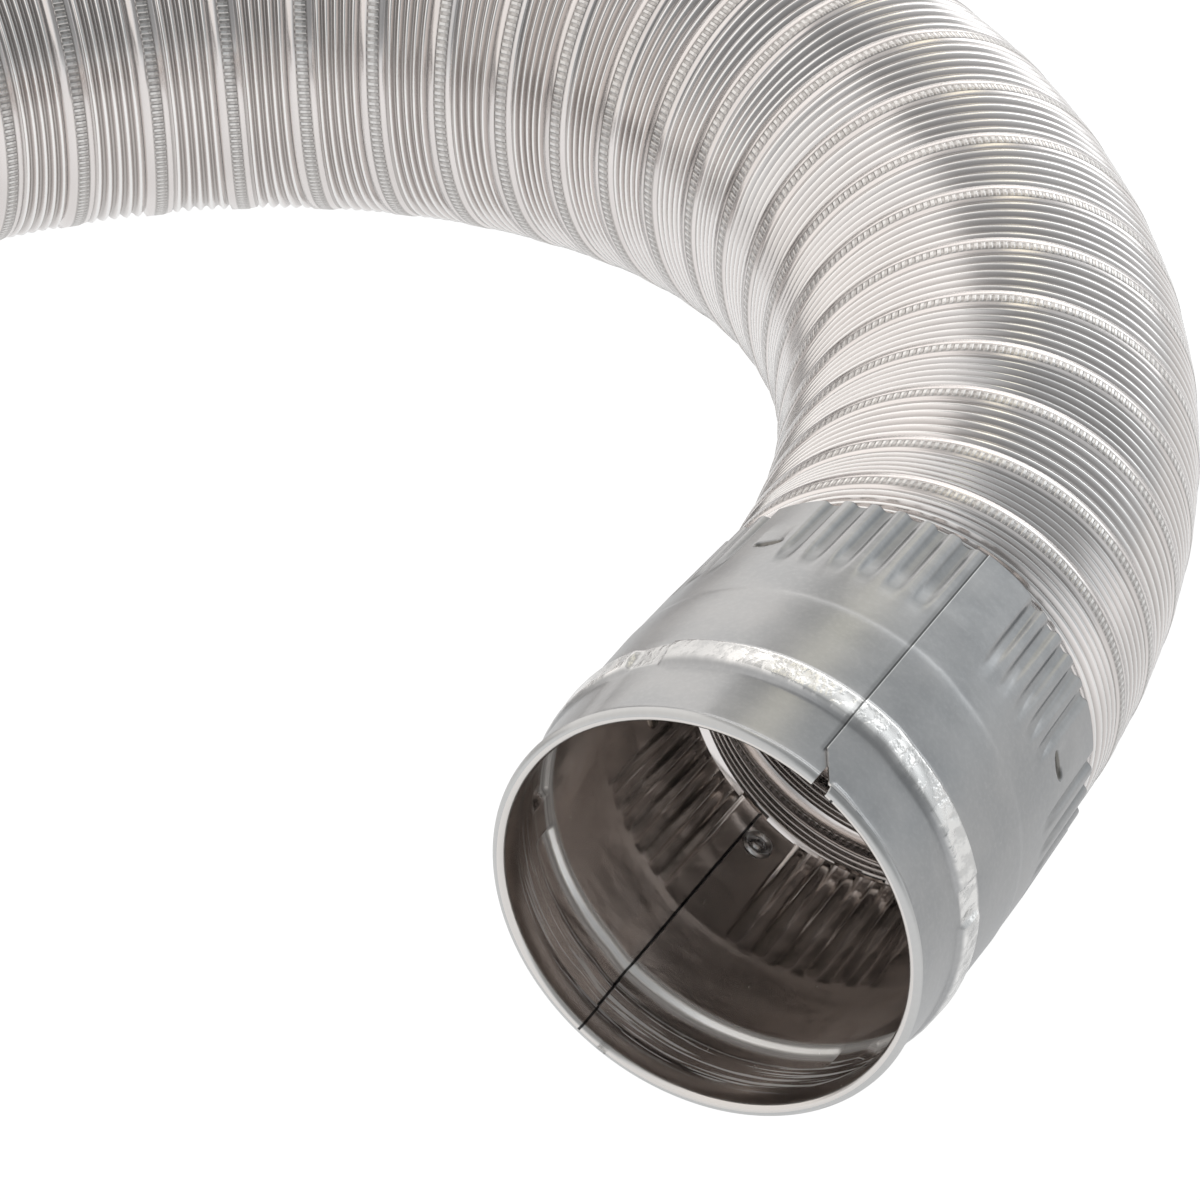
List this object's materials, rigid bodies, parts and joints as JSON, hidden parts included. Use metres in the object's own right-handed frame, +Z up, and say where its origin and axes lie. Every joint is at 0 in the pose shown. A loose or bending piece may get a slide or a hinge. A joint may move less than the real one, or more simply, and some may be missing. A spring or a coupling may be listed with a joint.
{
  "type": "flexible air duct",
  "caption": "Flexible air duct wound from corrugated metal strip, lying in a bend, with a two-part sheet metal collar crimped on each end.",
  "frame": {"origin": "centre of the front collar's mouth, in the plane of its rim", "axes": "+Y along the front collar's axis into the duct, +Z up, the duct bends towards -X"},
  "size_m": [0.527, 0.5771, 0.109],
  "materials": {
    "duct_strip": "bright, corrugated",
    "collar_sheet": "galvanised",
    "rivet": "plain"
  },
  "bodies": {
    "middle": {"duct_middle": "duct_strip", "duct_front_turn": "duct_strip", "duct_rear_turn": "duct_strip"},
    "front_ring": {"duct_front_ring": "duct_strip", "duct_front_lift": "duct_strip"},
    "front_run": {"duct_front_run": "duct_strip", "duct_front_stretch": "duct_strip"},
    "front_collar": {"front_right_shell": "collar_sheet", "front_left_shell": "collar_sheet", "front_rivets": "rivet", "duct_front_end": "duct_strip"},
    "rear_ring": {"duct_rear_ring": "duct_strip", "duct_rear_lift": "duct_strip"},
    "rear_run": {"duct_rear_run": "duct_strip", "duct_rear_stretch": "duct_strip"},
    "rear_collar": {"rear_right_shell": "collar_sheet", "rear_left_shell": "collar_sheet", "rear_rivets": "rivet", "duct_rear_end": "duct_strip"}
  },
  "joints": [
    {"name": "front_turn", "type": "hinge", "parent": "middle", "child": "front_ring", "pos_m": [-0.13069, 0.31854, -0.00502], "axis": [0, 0, 1], "range_deg": [-10, 20], "deforming": ["duct_front_turn"]},
    {"name": "front_lift", "type": "hinge", "parent": "front_ring", "child": "front_run", "pos_m": [-0.05628, 0.25908, -0.00458], "axis": [-0.7829, -0.6221, 0], "range_deg": [0, 20], "deforming": ["duct_front_lift"]},
    {"name": "front_stretch", "type": "slide", "parent": "front_run", "child": "front_collar", "axis": [0, -1, 0], "range_m": [-0.012, 0.035], "deforming": ["duct_front_stretch"]},
    {"name": "rear_turn", "type": "hinge", "parent": "middle", "child": "rear_ring", "pos_m": [-0.39964, 0.14765, -0.00327], "axis": [0, 0, -1], "range_deg": [-15, 20], "deforming": ["duct_rear_turn"]},
    {"name": "rear_lift", "type": "hinge", "parent": "rear_ring", "child": "rear_run", "pos_m": [-0.41694, 0.05333, -0.00074], "axis": [-0.9978, 0.0656, 0], "range_deg": [0, 20], "deforming": ["duct_rear_lift"]},
    {"name": "rear_stretch", "type": "slide", "parent": "rear_run", "child": "rear_collar", "axis": [0, -1, 0], "range_m": [-0.015, 0.026], "deforming": ["duct_rear_stretch"]}
  ]
}
